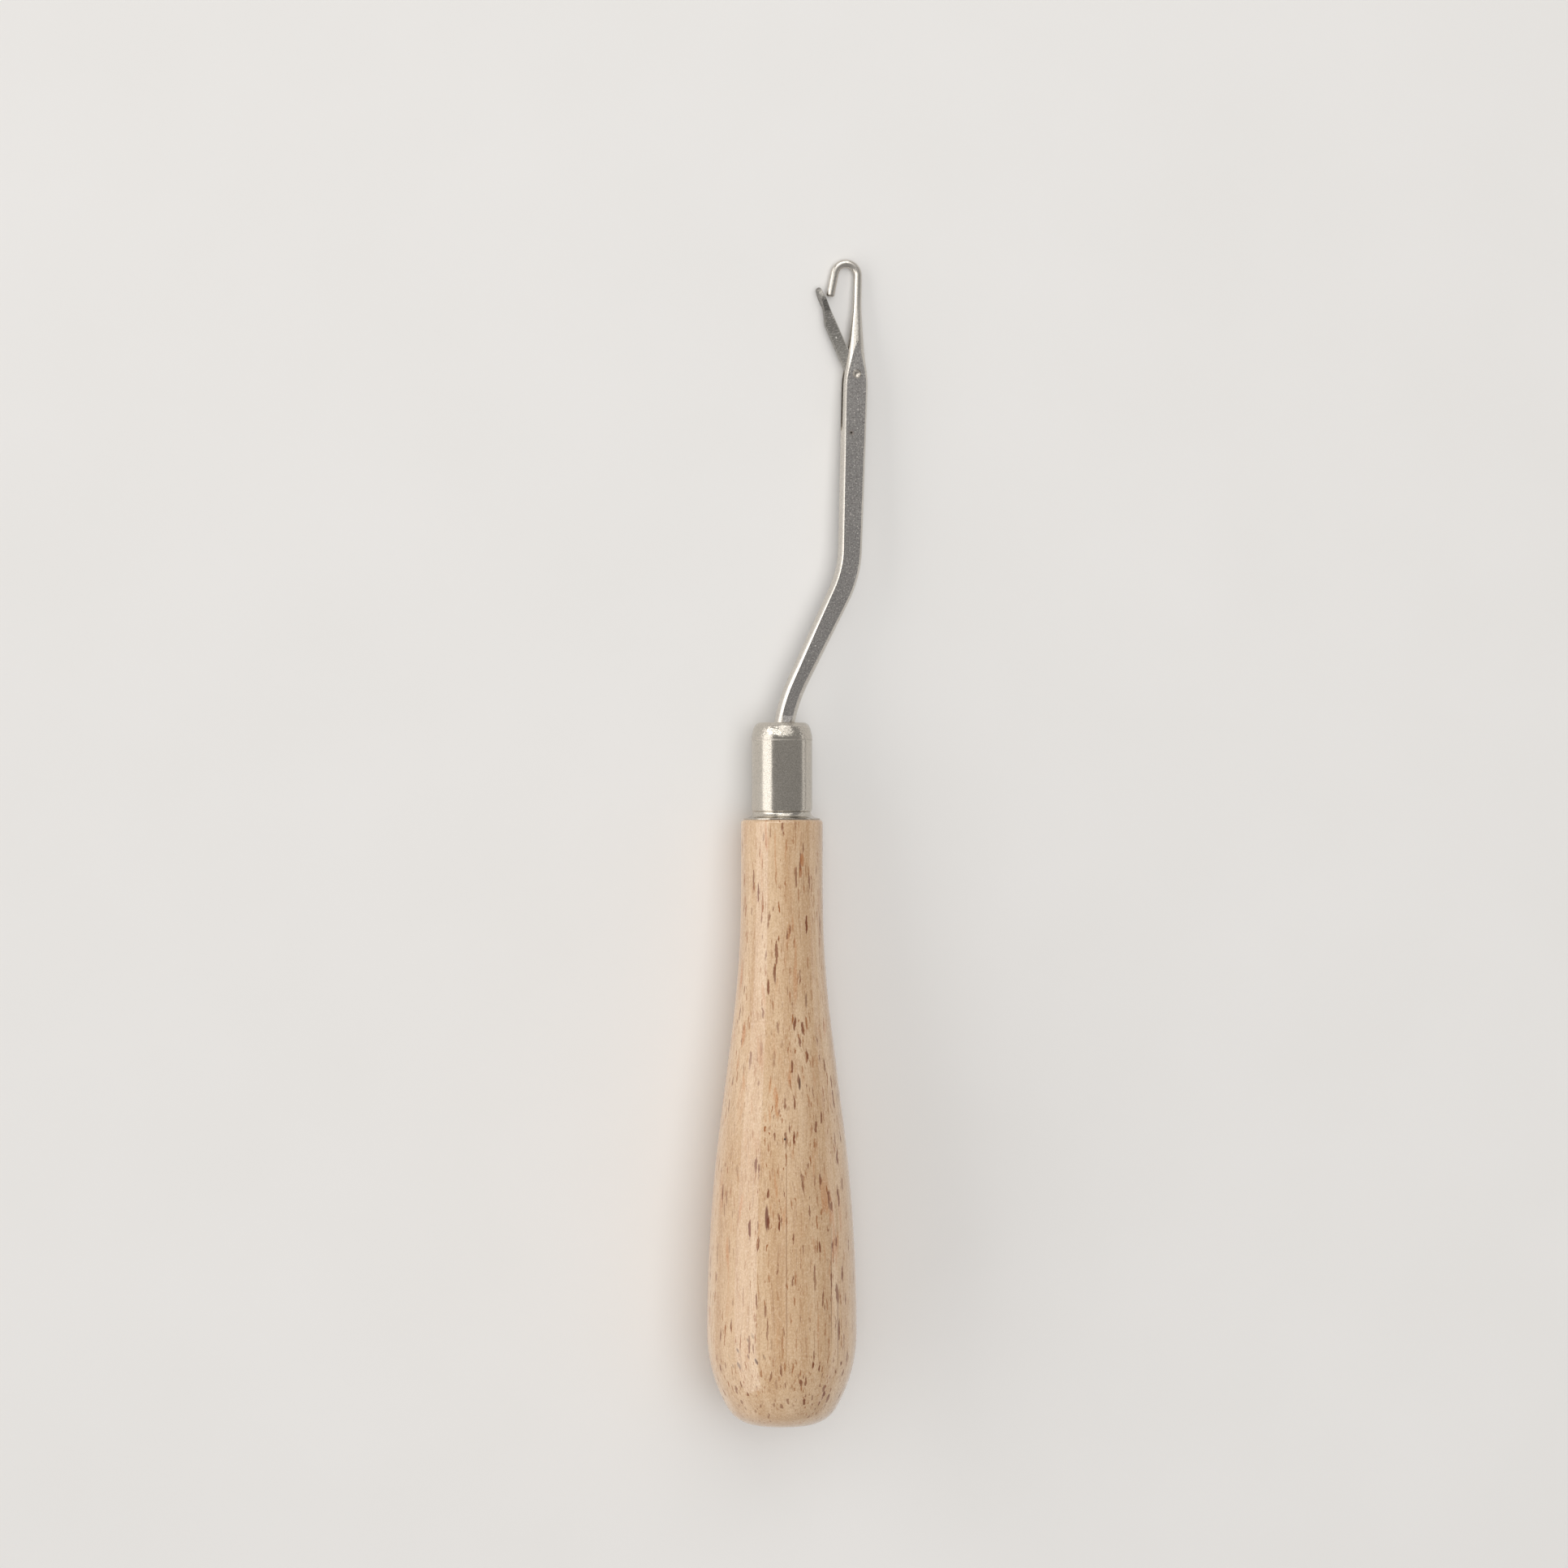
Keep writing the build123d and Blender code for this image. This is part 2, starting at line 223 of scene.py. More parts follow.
# Places of the wood where its pores crowd: middle and half sizes
pore_crowds = [
    ((1.0, 72.0), (4.2, 12.0)),
    ((3.4, 44.0), (3.6, 15.0)),
    ((0.2, 33.0), (2.4, 12.0)),
    ((7.2, 16.0), (2.6, 16.0)),
    ((-4.8, 9.0), (4.0, 5.0)),
    ((3.4, 7.0), (4.0, 5.0)),
    ((5.6, 38.0), (2.6, 22.0)),
    ((4.6, 70.0), (2.0, 13.0)),
    ((-3.0, 26.0), (2.0, 20.0)),
]

# Slanted nicks low on the bulb, rings left by the turning, and the end grain at the butt
nick_size = (0.7, 1.7)
nick_slant = 0.4
nick_middle = (-4.6, 9.6)
nick_halves = (3.0, 4.4)
nick_brown = (98, 62, 40)
turning_pitch = 0.34
turning_middle = (2.6, 46.0)
turning_halves = (3.2, 6.5)
turning_brown = (176, 132, 96)
end_grain_height = 5.5
end_grain_tan = (186, 158, 132)
end_dot_size = (0.5, 0.5)
end_dot_brown = (136, 100, 72)

# Nickel plate: patterns in millimetres, tones, and the rubbed crease and uneven shoulder
plate_cloud_size = (2.2, 3.0)
plate_speck_size = (0.14, 0.14)
plate_scuff_size = (0.25, 2.6)
plate_patch_size = (1.1, 0.7)
plate_dim = (192, 186, 177)
plate_clear = (208, 201, 190)
plate_speck_dark = (160, 155, 147)
plate_speck_light = (232, 226, 216)
scuff_roughness = 0.08
crease_half_width = 0.14
crease_roughness = 0.3
patchy_start = 0.15
patchy_start_fade = 0.2
patchy_end = 0.3

# Shank steel: patterns in millimetres, and the tones of its rounded sides and pressed flats
sparkle_size = (0.2, 0.2)
steel_cloud_size = (1.8, 4.0)
steel_cloud_roughness = 0.06
steel_scratch_size = (0.1, 2.4)
steel_scratch_rise = 0.25
steel_glint_size = (0.5, 0.5)
side_dim = (200, 194, 186)
side_clear = (216, 211, 203)
side_speck_dark = (126, 121, 114)
side_speck_light = (246, 242, 234)
flat_dim = (160, 157, 155)
flat_clear = (176, 172, 169)
flat_speck_dark = (122, 118, 115)
flat_speck_light = (246, 242, 236)
flat_glint = (248, 244, 238)

# Small marks on the shank's upper side, placed in the bend plane: half sizes and tones; the white dot at the
# apex is a painted highlight
flat_pit = (9.52, 136.25)
flat_pit_halves = (0.19, 0.17)
flat_stain_halves = (0.5, 0.5)
apex_pit = (10.42, 148.75)
apex_ring_halves = (0.17, 0.17)
apex_highlight_halves = (0.07, 0.07)
pit_black = (52, 46, 42)
stain_brown = (170, 148, 126)
ring_grey = (74, 70, 66)
# Painted highlight in the middle of the dark ring at the apex
apex_highlight_white = (240, 234, 226)

# Latch steel: patterns across and along the latch in millimetres, and tones
mill_size = (0.42, 0.13)
latch_cloud_size = (0.7, 1.4)
latch_cloud_rise = 0.3
latch_dot_sink = 0.5
latch_nick_size = (0.5, 0.17)
latch_far_grey = (142, 139, 134)
latch_eye_grey = (188, 184, 177)
mill_dark = (108, 106, 102)
mill_light = (224, 220, 212)
latch_nick_grey = (86, 84, 80)
# Painted highlight along the latch's inner edge
latch_edge_highlight_grey = (232, 228, 220)
latch_scratch_grey = (230, 226, 220)
# Painted highlight in the latch's small dents
dent_highlight_white = (252, 248, 242)

# Marks on the latch's upper side, placed across and along it; the light band along its inner edge and the
# white of its small dents are painted highlights
# The latch grows lighter towards its eye over this length
eye_fade_length = 7.0
edge_highlight_width = 0.13
edge_highlight_fade = 0.05
latch_scratch_height = 6.15
latch_scratch_bow = 0.35
latch_scratch_half_width = 0.06
latch_dents = [((-0.42, 5.7), 0.12), ((0.28, 8.3), 0.08), ((0.26, 8.65), 0.07)]

# Rivet steel and table top
rivet_cloud_size = (0.3, 0.3)
rivet_dim = (172, 165, 156)
rivet_clear = (214, 208, 199)
table_half_side = 3.0
table_mottle_size = (0.025, 0.025)
table_dim = (236, 234, 231)
table_clear = (240, 238, 236)

# How far over a side's edge its marks fade out, in millimetres
shown_side_fade = 0.5
shank_top_fade = 0.2
latch_top_fade = 0.1

# Sockets of the colour mix, which has several of each name
mix_share = 0
mix_first = 6
mix_second = 7
mix_result = 2

# Lamps, in metres: place, aim, width, height, radiance, colour, and whether they light, are mirrored or both
lamps = [
    ("window", (-1.8, 0.0, 0.63), (0.0, 0.0, 0.0), 3.6, 1.32, 1.5, (1.0, 0.985, 0.96), "both"),
    ("skylight", (0.0, 0.56, 0.72), (0.0, 0.0, 0.0), 0.9, 0.46, 1.0, (1.0, 0.99, 0.97), "both"),
    ("ceiling", (0.05, 0.0, 1.1), (0.0, 0.0, 0.0), 0.9, 0.9, 2.0, (1.0, 1.0, 1.0), "lights"),
    ("head_glow", (-0.075, 0.087, 0.085), (0.01, 0.08, 0.0), 0.06, 0.15, 1.5, (1.0, 0.99, 0.97), "mirrored"),
    ("bow_glow", (0.0, 0.19, 0.07), (0.008, 0.078, 0.0), 0.12, 0.09, 1.8, (1.0, 0.99, 0.97), "mirrored"),
    ("far_side", (0.55, 0.0, 0.12), (0.0, 0.0, 0.0), 1.2, 0.14, 0.5, (1.0, 0.98, 0.95), "mirrored"),
]
room_colour = (1.0, 0.985, 0.965, 1.0)
room_strength = 0.34

# Camera, set as the photograph was taken: from above, a little to the side of the latch
view_roll = radians(12.5)
picture_side = 1932
pixel_size = 0.1114
view_width = picture_side * pixel_size
view_centre = Vector((0.3, 87.95, 0.0))
view_distance = 600.0
sensor_width = 36.0
nearest_seen = 0.01
farthest_seen = 10.0


def heading(lean):
    """Unit direction in the bend plane, leaning from +Y towards +X."""
    return Vector((sin(lean), cos(lean), 0.0))


def rightward(lean):
    """Unit direction in the bend plane, square to the heading and to its right."""
    return Vector((cos(lean), -sin(lean), 0.0))


# Places along the shank's centre line
corner_low = Vector((0.0, ferrule_top + bend_rise, 0.0))
corner_high = corner_low + heading(diagonal_lean) * diagonal_run
latch_pivot = corner_high + heading(upper_lean) * upper_run

# How the tool lies on the table, in metres, with its rivet on the joint of the frame
hinge = next(joint for joint in frame["joints"] if joint["name"] == "latch_pivot")
table_tilt = atan2(hinge["axis"][1], hinge["axis"][2])
lay_down = (
    Matrix.Translation(hinge["pos_m"])
    @ Matrix.Rotation(-table_tilt, 4, "X")
    @ Matrix.Scale(millimetre, 4)
    @ Matrix.Translation(-latch_pivot)
)


def tone(red, green, blue):
    """Linear colour of a tone given as it shows on a screen, from 0 to 255."""
    shares = [value / 255 for value in (red, green, blue)]
    return tuple(s / 12.92 if s <= 0.04045 else ((s + 0.055) / 1.055) ** 2.4 for s in shares) + (1.0,)


class Wire:
    """An output socket of a finish, which can stand in a sum."""

    def __init__(self, finish, socket):
        self.finish = finish
        self.socket = socket

    def worked(self, operation, *values, clamped=False):
        node = self.finish.add(
            "ShaderNodeMath",
            {"operation": operation, "use_clamp": clamped},
            dict(enumerate(values)),
        )
        return Wire(self.finish, node.outputs[0])

    def __add__(self, other):
        return self.worked("ADD", self, other)

    def __radd__(self, other):
        return self.worked("ADD", other, self)

    def __sub__(self, other):
        return self.worked("SUBTRACT", self, other)

    def __rsub__(self, other):
        return self.worked("SUBTRACT", other, self)

    def __mul__(self, other):
        return self.worked("MULTIPLY", self, other)

    def __rmul__(self, other):
        return self.worked("MULTIPLY", other, self)

    def __truediv__(self, other):
        return self.worked("DIVIDE", self, other)

    def __rtruediv__(self, other):
        return self.worked("DIVIDE", other, self)

    def __abs__(self):
        return self.worked("ABSOLUTE", self)

    def clamped(self):
        return self.worked("ADD", self, 0.0, clamped=True)


class Finish:
    """A material in the making, with the tool's own millimetres to place its marks."""

    def __init__(self, name):
        self.material = bpy.data.materials.new(name)
        self.material.use_nodes = True
        self.material.node_tree.nodes.clear()

    def add(self, kind, settings=None, sockets=None):
        """New node of a kind, with its settings and then its sockets' values or links."""
        node = self.material.node_tree.nodes.new(kind)
        for name, value in (settings or {}).items():
            setattr(node, name, value)
        for name, value in (sockets or {}).items():
            if isinstance(value, Wire):
                self.material.node_tree.links.new(value.socket, node.inputs[name])
            else:
                node.inputs[name].default_value = value
        return node

    def out(self, node, name=0):
        return Wire(self, node.outputs[name])

    def placed(self, place, frame_of_piece):
        """Place in the frame of a piece, which a matrix gives."""
        back = frame_of_piece.inverted()
        mapping = self.add(
            "ShaderNodeMapping",
            {"vector_type": "POINT"},
            {
                "Vector": place,
                "Location": back.to_translation(),
                "Rotation": back.to_euler(),
                "Scale": back.to_scale(),
            },
        )
        return self.out(mapping)

    def object_place(self):
        """Place in the object's own frame, in metres."""
        return self.out(self.add("ShaderNodeTexCoord"), "Object")

    def tool_place(self):
        """Place in the tool's own frame, in millimetres."""
        return self.placed(self.object_place(), lay_down)

    def coordinates(self, place):
        node = self.add("ShaderNodeSeparateXYZ", None, {"Vector": place})
        return [self.out(node, axis) for axis in "XYZ"]

    def upper_side(self, place, fade):
        """The upper side: place across and along it, and 1 where the surface is on it."""
        across, along, depth = self.coordinates(place)
        return across, along, (depth / fade).clamped()

    def shown_side(self, place):
        """The side that the photograph shows: place across and along it, and 1 where the surface is on it."""
        across, along, depth = self.coordinates(place)
        shown = across * cos(view_roll) + depth * sin(view_roll)
        outward = depth * cos(view_roll) - across * sin(view_roll)
        return shown, along, (outward / shown_side_fade).clamped()

    def stretched(self, place, size):
        """Place in patches of a size across and along the tool."""
        across, along = size
        scale = (1 / across, 1 / along, 1 / across)
        return self.out(self.add("ShaderNodeVectorMath", {"operation": "MULTIPLY"}, {0: place, 1: scale}))

    def moved(self, place, shift, scale):
        """Place moved by a vector pattern times a scale."""
        return self.out(
            self.add("ShaderNodeVectorMath", {"operation": "MULTIPLY_ADD"}, {0: shift, 1: scale, 2: place})
        )

    def cloud(self, place, size, detail=2.0, roughness=0.5, output="Fac"):
        """Soft random pattern with patches of a size across and along the tool."""
        node = self.add(
            "ShaderNodeTexNoise",
            None,
            {
                "Vector": self.stretched(place, size),
                "Scale": 1.0,
                "Detail": detail,
                "Roughness": roughness,
            },
        )
        return self.out(node, output)

    def cells(self, place, size):
        """Distance to the nearest of some scattered points, and two random numbers for that point."""
        node = self.add(
            "ShaderNodeTexVoronoi",
            None,
            {"Vector": self.stretched(place, size), "Scale": 1.0, "Randomness": 1.0},
        )
        split = self.add("ShaderNodeSeparateColor", None, {"Color": self.out(node, "Color")})
        return self.out(node, "Distance"), self.out(split, "Red"), self.out(split, "Green")

    def mixed(self, first, second, share):
        """Colour between two, each a colour of the finish or a tone."""
        ends = [end if isinstance(end, Wire) else tone(*end) for end in (first, second)]
        node = self.add(
            "ShaderNodeMix",
            {"data_type": "RGBA"},
            {mix_share: share, mix_first: ends[0], mix_second: ends[1]},
        )
        return self.out(node, mix_result)

    def layered(self, colour, *layers):
        """Colour with layers over it in turn, each a tone, its strength and where it lies."""
        for shade, strength, where in layers:
            colour = self.mixed(colour, shade, strength * where)
        return colour

    def bumped(self, height, rise, under=None):
        """Normal of a surface raised by a height from 0 to 1 times a rise in metres."""
        sockets = {"Height": height, "Distance": rise, "Strength": 1.0}
        if under:
            sockets["Normal"] = under
        return self.out(self.add("ShaderNodeBump", None, sockets))

    def surfaced(self, sockets):
        """Ends the material with its shader."""
        shader = self.add("ShaderNodeBsdfPrincipled", None, sockets)
        self.add("ShaderNodeOutputMaterial", None, {"Surface": self.out(shader)})
        return self.material


def above(pattern, level, gain):
    """How far a pattern rises over a level, times a gain, from 0 to 1."""
    return ((pattern - level) * gain).clamped()


def below(pattern, level, gain):
    """How far a pattern falls under a level, times a gain, from 0 to 1."""
    return ((level - pattern) * gain).clamped()


def past(value, start, fade):
    """0 up to a start and 1 from a fade past it."""
    return ((value - start) / fade).clamped()


def short_of(value, end, fade):
    """1 up to a fade before an end and 0 from there on."""
    return ((end - value) / fade).clamped()


def line(value, middle, half_width):
    """Line with soft edges: 1 in its middle and 0 outside."""
    return (1.0 - abs(value - middle) / half_width).clamped()


def between(low, high, share):
    """Value that goes from low to high as the share goes from 0 to 1."""
    return low + (high - low) * share


def oval(side, middle, halves, softness):
    """Oval mark with a soft edge on one side of a piece: 1 inside and 0 outside."""
    across, along, facing = side
    wide = (across - middle[0]) / halves[0]
    tall = (along - middle[1]) / halves[1]
    return ((1.0 - wide * wide - tall * tall) / softness).clamped() * facing


def pores(finish, place, size, reach, softness):
    """Short pores along the grain: how strongly each place is pore, and how dark that pore is."""
    distance, width, darkness = finish.cells(place, size)
    return short_of(distance, reach * between(smallest_pore_share, 1.0, width), softness), darkness


def wood_ground(finish, tool, grain):
    """Colour of the wood between its pores."""
    bands = finish.cloud(grain, band_size)
    lines = finish.cloud(grain, line_size)
    threads = finish.cloud(grain, thread_size, detail=1.0)
    fibres = finish.cloud(grain, fibre_size, roughness=0.6)
    patches = finish.cloud(grain, patch_size, detail=1.0)
    streaks = finish.cloud(grain, streak_size, detail=1.0)
    grit = finish.cloud(tool, grit_size, roughness=0.7)
    streak = above(streaks, level=0.6, gain=9.0) * above(patches, level=0.4, gain=4.0)
    return finish.layered(
        finish.mixed(wood_tan, wood_pale, above(bands, level=0.32, gain=2.6)),
        (wood_line, 0.6, above(lines, level=0.54, gain=3.6)),
        (wood_thread, 0.45, above(threads, level=0.6, gain=7.0)),
        (fibre_pale, 0.4, above(fibres, level=0.5, gain=2.6)),
        (fibre_dark, 0.35, below(fibres, level=0.5, gain=2.6)),
        (wood_streak, 0.7, streak),
        (grit_pale, 0.4, above(grit, level=0.5, gain=4.0)),
        (grit_dark, 0.4, below(grit, level=0.5, gain=4.0)),
    )


def wood_pores(finish, tool, grain, side):
    """Fine hairs, long vessels and short dashes, with ragged edges and bolder where pores crowd."""
    crowd = above(finish.cloud(tool, crowd_size, detail=1.0), level=0.4, gain=4.5)
    for middle, halves in pore_crowds:
        crowd = crowd + crowd_strength * oval(side, middle, halves, softness=0.7)
    crowd = crowd.clamped()
    tear = finish.cloud(tool, tear_size, roughness=0.6, output="Color")
    ragged = finish.moved(grain, tear, tear_pull)
    hair, hair_depth = pores(finish, ragged, hair_size, reach=0.36, softness=0.1)
    vessel, vessel_depth = pores(finish, ragged, vessel_size, reach=0.3, softness=0.1)
    dash, dash_depth = pores(finish, ragged, dash_size, reach=0.33, softness=0.07)
    return (
        hair * between(0.5, 1.0, hair_depth) * between(0.35, 1.0, crowd),
        vessel * between(0.35, 1.0, vessel_depth) * between(0.5, 1.0, crowd),
        dash * between(0.7, 1.0, dash_depth) * between(0.4, 1.0, crowd),
    )


def marked_wood(finish, colour, tool, side):
    """Colour of the wood with its nicks, single marks, turning rings and end grain."""
    shown, height, _ = side
    slanted = finish.out(
        finish.add("ShaderNodeCombineXYZ", None, {"X": shown + nick_slant * height, "Y": height})
    )
    nick, nick_depth = pores(finish, slanted, nick_size, reach=0.36, softness=0.12)
    nick = nick * between(0.4, 1.0, nick_depth) * oval(side, nick_middle, nick_halves, softness=0.5)
    marks = [
        (shade, strength, oval(side, middle, halves, softness=0.6))
        for middle, halves, shade, strength in wood_marks
    ]
    rings = (height * (2 * pi / turning_pitch)).worked("SINE")
    turning = (rings * oval(side, turning_middle, turning_halves, softness=0.8)).clamped()
    end_grain = short_of(height, end_grain_height, end_grain_height)
    dots, dots_depth = pores(finish, tool, end_dot_size, reach=0.26, softness=0.1)
    return finish.layered(
        colour,
        (nick_brown, 1.0, nick),
        *marks,
        (turning_brown, 0.16, turning),
        (end_grain_tan, 0.35, end_grain),
        (end_dot_brown, 0.7, dots * end_grain * dots_depth),
    )


def varnished_wood():
    """Pale hardwood with brown pores, tan streaks and a few marks of its own, under clear varnish."""
    finish = Finish("varnished_wood")
    tool = finish.tool_place()
    side = finish.shown_side(tool)
    grain = finish.moved(tool, finish.cloud(tool, drift_size, detail=1.0, output="Color"), drift_pull)
    hair, vessel, dash = wood_pores(finish, tool, grain, side)
    colour = finish.layered(
        wood_ground(finish, tool, grain),
        (hair_brown, 1.0, hair),
        (vessel_brown, 1.0, vessel),
        (dash_brown, 1.0, dash),
    )
    recess = (hair + dash).clamped()
    wave = finish.cloud(tool, varnish_wave_size, detail=1.0)
    normal = finish.bumped(1.0 - recess, rise=0.00002)
    normal = finish.bumped(wave, rise=0.000035, under=normal)
    return finish.surfaced(
        {
            "Base Color": marked_wood(finish, colour, tool, side),
            "Roughness": between(0.42, 0.62, recess),
            "Normal": normal,
            "Specular IOR Level": 0.3,
            "Coat Weight": between(1.0, 0.7, recess),
            "Coat Roughness": 0.09,
            "Coat IOR": 1.75,
        }
    )


def polished_nickel():
    """Bright nickel plate, faintly clouded, uneven on its shoulder, with a rubbed crease."""
    finish = Finish("polished_nickel")
    tool = finish.tool_place()
    height = finish.coordinates(tool)[1]
    cloud = finish.cloud(tool, plate_cloud_size, detail=3.0)
    speck = finish.cloud(tool, plate_speck_size, detail=1.0)
    scuff = finish.cloud(tool, plate_scuff_size)
    patch = finish.cloud(tool, plate_patch_size, detail=3.0, roughness=0.65)
    crease_height = ferrule_top - shoulder_drop
    shoulder = past(height, crease_height + patchy_start, patchy_start_fade)
    shoulder = shoulder * short_of(height, ferrule_top - patchy_end, patchy_end)
    crease = line(height, crease_height, crease_half_width)
    colour = finish.layered(
        finish.mixed(plate_dim, plate_clear, cloud),
        (plate_speck_dark, 0.6, above(speck, level=0.5, gain=5.0)),
        (plate_speck_light, 0.5, below(speck, level=0.46, gain=5.0)),
    )
    normal = finish.bumped(speck, rise=0.000003)
    normal = finish.bumped(cloud, rise=0.00002, under=normal)
    normal = finish.bumped(patch * shoulder, rise=0.00012, under=normal)
    rubbed = scuff_roughness * above(scuff, level=0.5, gain=3.0) + crease_roughness * crease
    return finish.surfaced(
        {
            "Base Color": colour,
            "Metallic": 1.0,
            "Roughness": between(0.15, 0.22, cloud) + rubbed,
            "Normal": normal,
        }
    )


def satin_steel():
    """Steel with satin pressed flats that sparkle a little, and smoother rounded sides."""
    finish = Finish("satin_steel")
    tool = finish.tool_place()
    top = finish.upper_side(tool, shank_top_fade)
    flat = finish.out(finish.add("ShaderNodeAttribute", {"attribute_name": "pressed"}), "Fac")
    sparkle = finish.cloud(tool, sparkle_size, detail=3.0, roughness=0.75)
    cloud = finish.cloud(tool, steel_cloud_size, detail=3.0)
    scratch = finish.cloud(tool, steel_scratch_size)
    glint, glint_depth = pores(finish, tool, steel_glint_size, reach=0.24, softness=0.08)
    stain = oval(top, flat_pit, flat_stain_halves, softness=0.8) * above(sparkle, level=0.42, gain=6.0)
    side_colour = finish.layered(
        finish.mixed(side_dim, side_clear, cloud),
        (side_speck_dark, 0.55, below(sparkle, level=0.46, gain=6.0)),
        (side_speck_light, 0.5, above(sparkle, level=0.55, gain=6.0)),
    )
    colour = finish.layered(
        finish.mixed(side_colour, finish.mixed(flat_dim, flat_clear, cloud), flat),
        (flat_speck_dark, 0.8, flat * below(sparkle, level=0.48, gain=7.0)),
        (flat_speck_light, 0.8, flat * above(sparkle, level=0.55, gain=8.0)),
        (flat_glint, 1.0, flat * glint * glint_depth),
        (stain_brown, 0.5, flat * stain),
        (pit_black, 0.9, flat * oval(top, flat_pit, flat_pit_halves, softness=0.4)),
        (ring_grey, 0.8, oval(top, apex_pit, apex_ring_halves, softness=0.3)),
        # painted highlight at the apex
        (apex_highlight_white, 1.0, oval(top, apex_pit, apex_highlight_halves, softness=0.5)),
    )
    return finish.surfaced(
        {
            "Base Color": colour,
            "Metallic": 1.0,
            "Roughness": between(0.24, 0.36, flat) + steel_cloud_roughness * cloud,
            "Normal": finish.bumped(sparkle * flat + steel_scratch_rise * scratch, rise=0.000012),
        }
    )


def milled_steel():
    """Dull steel with fine tool marks across the latch, lighter near its eye, with a painted highlight along
    its inner edge and on its small dents.
    """
    finish = Finish("milled_steel")
    closed = Matrix.Translation(latch_pivot) @ Matrix.Rotation(latch_closed_lean, 4, "Z")
    latch = finish.placed(finish.tool_place(), closed)
    top = finish.upper_side(latch, latch_top_fade)
    across, along, facing = top
    mills = finish.cloud(latch, mill_size, roughness=0.6)
    cloud = finish.cloud(latch, latch_cloud_size, detail=3.0)
    nick, nick_depth = pores(finish, latch, latch_nick_size, reach=0.42, softness=0.16)
    eye_share = (1.0 - along / eye_fade_length).clamped()
    # Painted highlight: a light band along the latch's inner edge, on its upper side
    rim = past(across, bar_inner_edge - edge_highlight_width, edge_highlight_fade) * facing
    bowed = along - latch_scratch_bow * across * across
    scratch = line(bowed, latch_scratch_height, latch_scratch_half_width) * facing
    # Small dents, sunk by the bump, each with a painted highlight in it
    dots = 0.0
    for middle, radius in latch_dents:
        dots = dots + oval(top, middle, (radius, radius), softness=0.5)
    dots = dots.clamped()
    colour = finish.layered(
        finish.mixed(latch_far_grey, latch_eye_grey, eye_share),
        (mill_dark, 0.65, below(mills, level=0.5, gain=5.0)),
        (mill_light, 0.6, above(mills, level=0.54, gain=6.0)),
        (latch_nick_grey, 0.5, nick * (1.0 - nick_depth)),
        # painted highlight along the inner edge
        (latch_edge_highlight_grey, 0.6, rim),
        (latch_scratch_grey, 0.6, scratch),
        # painted highlight in the small dents
        (dent_highlight_white, 1.0, dots),
    )
    return finish.surfaced(
        {
            "Base Color": colour,
            "Metallic": 1.0,
            "Roughness": between(0.34, 0.46, cloud),
            "Normal": finish.bumped(mills + latch_cloud_rise * cloud - latch_dot_sink * dots, rise=0.000015),
        }
    )


def rubbed_rivet_steel():
    """Bright rivet ends, a little scratched."""
    finish = Finish("rubbed_rivet_steel")
    cloud = finish.cloud(finish.tool_place(), rivet_cloud_size, detail=3.0)
    return finish.surfaced(
        {
            "Base Color": finish.mixed(rivet_dim, rivet_clear, cloud),
            "Metallic": 1.0,
            "Roughness": between(0.2, 0.35, cloud),
            "Normal": finish.bumped(cloud, rise=0.00001),
        }
    )


def plain_table():
    """Pale, faintly mottled table top."""
    finish = Finish("plain_table")
    cloud = finish.cloud(finish.object_place(), table_mottle_size, detail=3.0)
    return finish.surfaced(
        {
            "Base Color": finish.mixed(table_dim, table_clear, cloud),
            "Roughness": 0.75,
            "Specular IOR Level": 0.25,
        }
    )


def eased(form, width, least_angle, segments=ease_segments):
    """Rounds every edge that turns by more than the least angle, in degrees."""
    sharp = [e for e in form.edges if len(e.link_faces) == 2 and e.calc_face_angle(0) > radians(least_angle)]
    bmesh.ops.bevel(
        form,
        geom=sharp,
        offset=width,
        offset_type="OFFSET",
        affect="EDGES",
        segments=segments,
        profile=0.5,
        material=-1,
        clamp_overlap=True,
    )


def piece_of(form, name, finish, body, slot, *nodes):
    """Lays a finished form down on the table as a piece of the tool."""
    bmesh.ops.recalc_face_normals(form, faces=form.faces)
    form.transform(lay_down)
    mesh = bpy.data.meshes.new(name)
    form.to_mesh(mesh)
    form.free()
    mesh.shade_smooth()
    mesh.set_sharp_from_angle(angle=sharp_angle)
    mesh.materials.append(finish)
    piece = bpy.data.objects.new(name, mesh)
    bpy.context.scene.collection.objects.link(piece)
    evened = piece.modifiers.new("evened_shading", "WEIGHTED_NORMAL")
    evened.keep_sharp = True
    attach(piece, body)
    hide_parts(*nodes)


def joined_copy(node):
    """Form of a CAD node with its loose triangles joined, in the tool's own millimetres."""
    form = bmesh.new()
    form.from_mesh(frame["nodes"][node].data)
    form.transform(lay_down.inverted())
    bmesh.ops.remove_doubles(form, verts=form.verts, dist=weld_distance)
    bmesh.ops.dissolve_limit(form, angle_limit=level_angle, verts=form.verts, edges=form.edges)
    return form


def straight(start, end, lean, start_radius, end_radius):
    """Stations of a straight rod: place, lean and radius, short of its end."""
    steps = ceil((end - start).length / rod_step)
    shares = [step / steps for step in range(steps)]
    return [(start.lerp(end, s), lean, start_radius + (end_radius - start_radius) * s) for s in shares]


def bent(centre, bend_radius, start_lean, end_lean, radius):
    """Stations of a bent rod, short of its end; it leans more and more towards its own centre."""
    side = 1 if end_lean > start_lean else -1
    steps = ceil(abs(end_lean - start_lean) / bend_step)
    leans = [start_lean + (end_lean - start_lean) * step / steps for step in range(steps)]
    return [(centre - rightward(lean) * bend_radius * side, lean, radius) for lean in leans]


def softened(stations):
    """Stations whose radii run into each other smoothly."""
    for _ in range(softening_rounds):
        radii = [radius for _, _, radius in stations]
        means = [(a + 2 * b + c) / 4 for a, b, c in zip(radii, radii[1:], radii[2:])]
        stations = [
            (place, lean, radius)
            for (place, lean, _), radius in zip(stations, radii[:1] + means + radii[-1:])
        ]
    return stations


